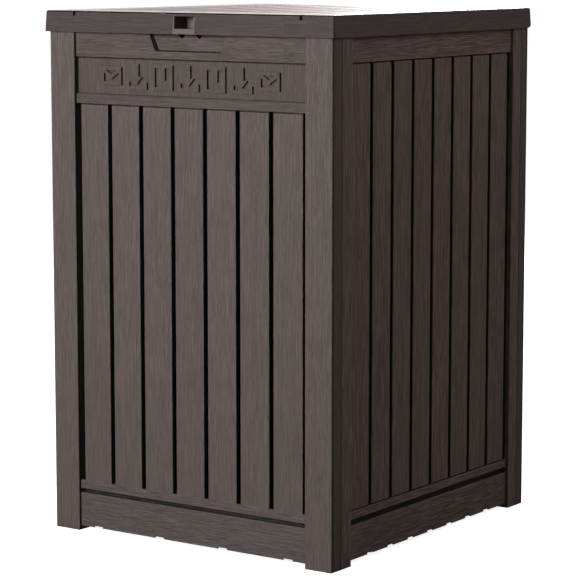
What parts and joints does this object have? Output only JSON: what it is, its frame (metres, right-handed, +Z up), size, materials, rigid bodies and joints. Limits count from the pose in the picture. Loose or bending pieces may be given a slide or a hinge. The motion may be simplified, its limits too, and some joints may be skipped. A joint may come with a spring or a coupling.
{
  "type": "parcel drop box",
  "caption": "Upright slatted resin box for parcels, with hollow corner posts, a sign plate, a finger recess and a rear-hinged lid that takes a padlock.",
  "frame": {"origin": "on the ground, under the middle of the whole box's outline", "axes": "+X right, +Y to the back (the front faces -Y), +Z up"},
  "size_m": [0.4494, 0.4794, 0.682],
  "materials": {
    "resin_front": "wood-grain moulded, matte",
    "resin_side": "wood-grain moulded, matte",
    "resin_rear": "wood-grain moulded, matte",
    "resin_floor": "plain moulded, matte",
    "resin_sign": "wood-grain moulded, matte",
    "resin_lid": "wood-grain moulded, satin",
    "resin_liner": "plain moulded, matte",
    "lock_insert": "smooth moulded",
    "cap_resin": "smooth moulded",
    "screw_steel": "zinc plated",
    "pin_steel": "drawn, zinc plated",
    "pad_rubber": "matte"
  },
  "bodies": {
    "box": {"front_panel": "resin_front", "rear_panel": "resin_rear", "left_panel": "resin_side", "right_panel": "resin_side", "floor_panel": "resin_floor", "front_left_foot_cap": "cap_resin", "front_right_foot_cap": "cap_resin", "rear_left_foot_cap": "cap_resin", "rear_right_foot_cap": "cap_resin", "front_corner_screws": "screw_steel", "rear_corner_screws": "screw_steel", "floor_screws": "screw_steel", "sign_plate": "resin_sign", "left_hinge_pin": "pin_steel", "right_hinge_pin": "pin_steel", "hinge_pin_clips": "pin_steel"},
    "lid": {"lid_shell": "resin_lid", "lid_liner": "resin_liner", "liner_screws": "screw_steel", "lid_bumpers": "pad_rubber", "lock_pocket": "lock_insert"}
  },
  "joints": [
    {"name": "lid_hinge", "type": "hinge", "parent": "box", "child": "lid", "pos_m": [0, 0.23097, 0.671], "axis": [-1, 0, 0], "range_deg": [0, 100]}
  ]
}
